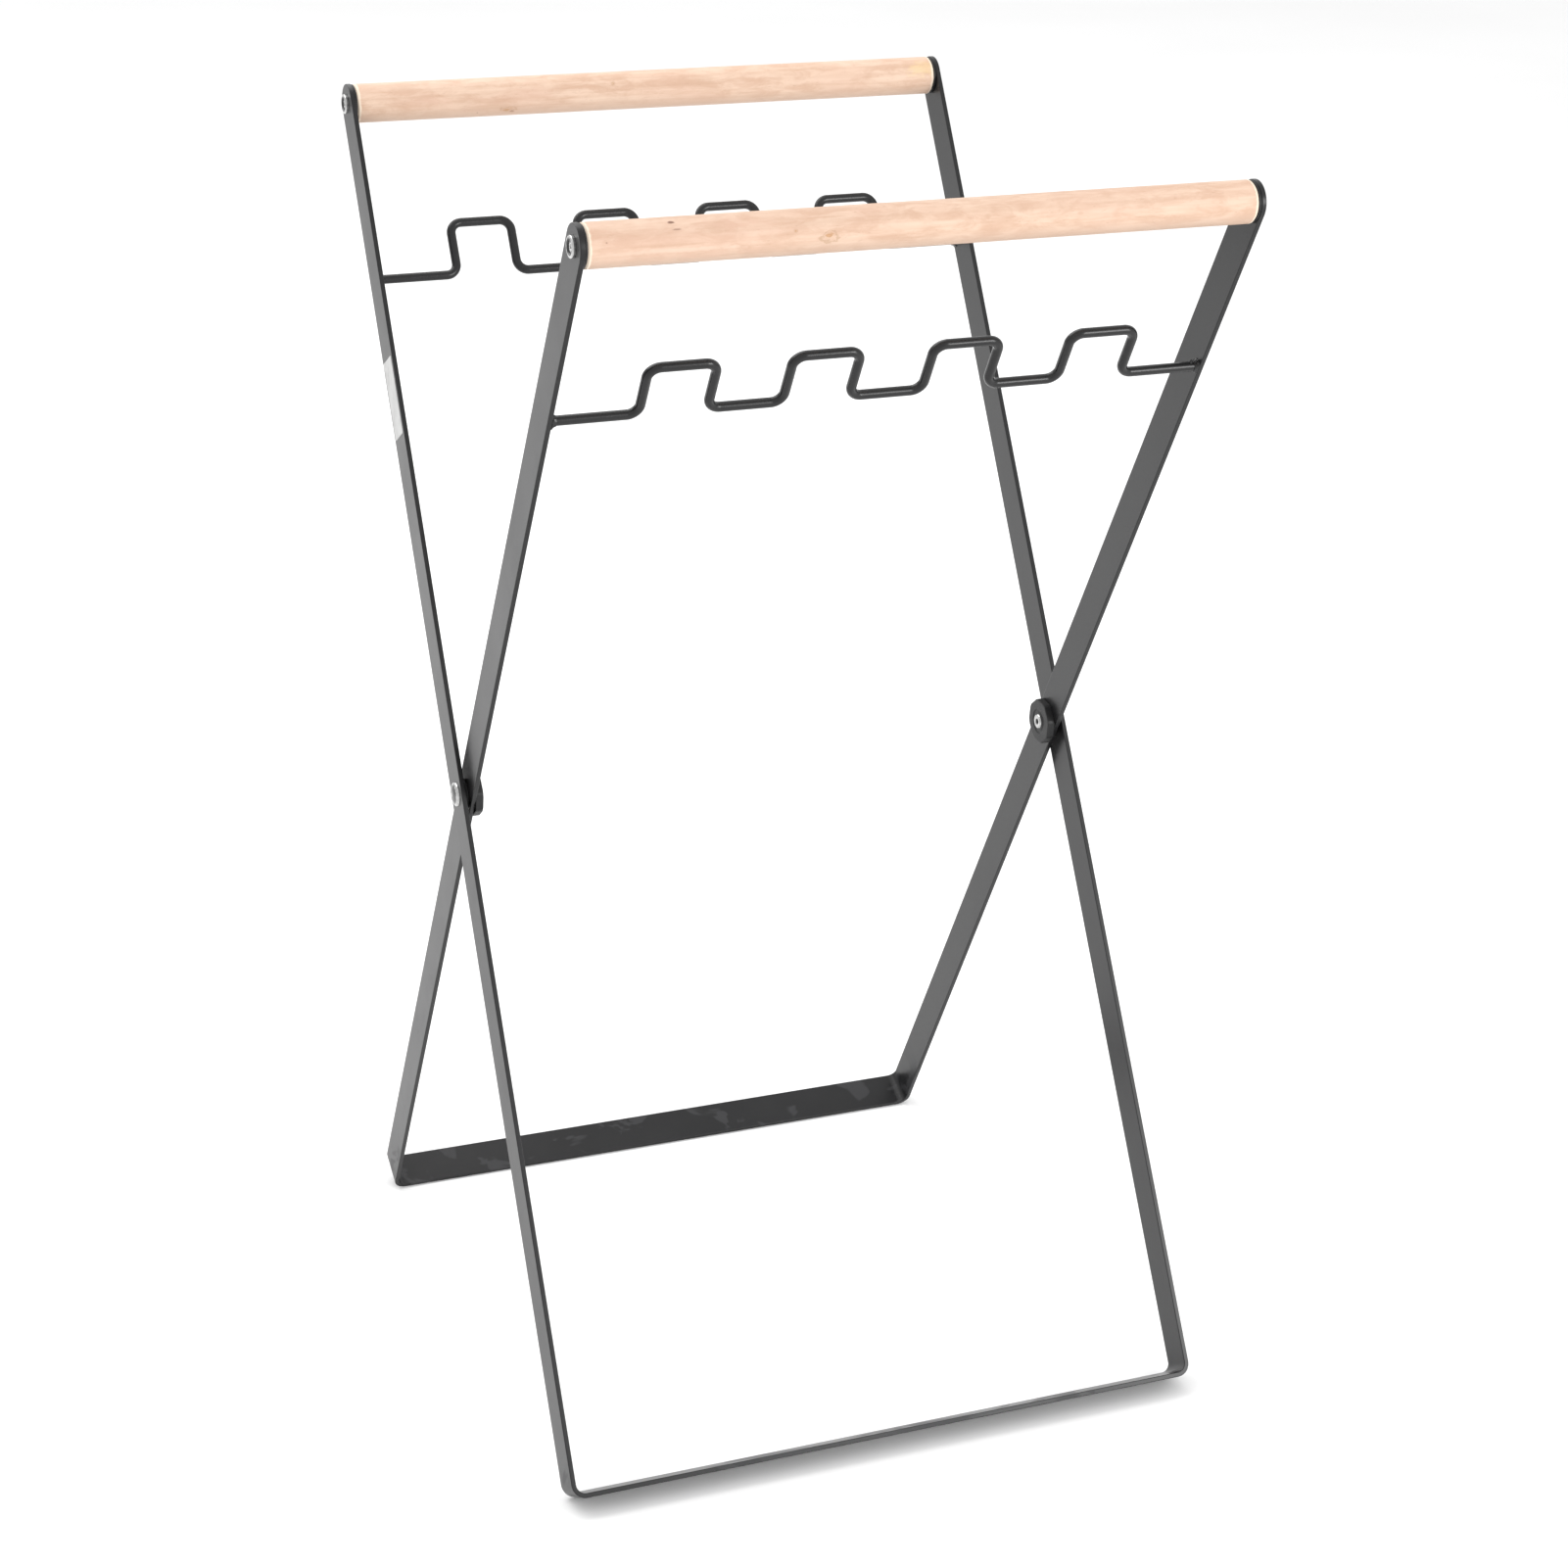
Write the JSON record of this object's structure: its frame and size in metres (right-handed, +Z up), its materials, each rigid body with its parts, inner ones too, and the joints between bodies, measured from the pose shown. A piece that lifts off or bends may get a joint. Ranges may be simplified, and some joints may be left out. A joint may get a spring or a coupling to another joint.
{
  "type": "clothes drying rack",
  "caption": "Folding X-frame clothes drying rack: crossed flat-bar frames, round wooden top rails, humped wire hooks below each rail, and riveted pivots.",
  "frame": {"origin": "on the floor at the middle of the footprint, rack open", "axes": "+Z up; X along the rails; -Y is the front, where the outer frame's foot bar and the inner frame's rail are; +Y is the rear"},
  "size_m": [0.4274, 0.4888, 0.7978],
  "materials": {
    "black_coated_bar": "satin black powder coat",
    "black_coated_wire": "satin black powder coat",
    "rail_wood": "pale, fine-grained, sanded, unvarnished",
    "bright_zinc": "bright zinc or nickel plate",
    "black_plastic": "fine matt",
    "label": "blank white self-adhesive label"
  },
  "bodies": {
    "outer": {"outer_frame": "black_coated_bar", "outer_rail": "rail_wood", "outer_hook_wire": "black_coated_wire", "outer_wire_welds": "black_coated_wire", "outer_rail_disc_left": "black_plastic", "outer_rail_disc_right": "black_plastic", "outer_rail_screw_left": "bright_zinc", "outer_rail_screw_right": "bright_zinc", "pivot_rivet_left": "bright_zinc", "pivot_rivet_right": "bright_zinc", "pivot_spacer_left": "black_plastic", "pivot_spacer_right": "black_plastic", "blank_label": "label"},
    "inner": {"inner_frame": "black_coated_bar", "inner_rail": "rail_wood", "inner_hook_wire": "black_coated_wire", "inner_wire_welds": "black_coated_wire", "inner_rail_disc_left": "black_plastic", "inner_rail_disc_right": "black_plastic", "inner_rail_screw_left": "bright_zinc", "inner_rail_screw_right": "bright_zinc", "pivot_collar_left": "black_plastic", "pivot_collar_right": "black_plastic"}
  },
  "joints": [
    {"name": "fold", "type": "hinge", "parent": "outer", "child": "inner", "pos_m": [0, 0, 0.38933], "axis": [-1, 0, 0], "range_deg": [0, 57.2]}
  ]
}
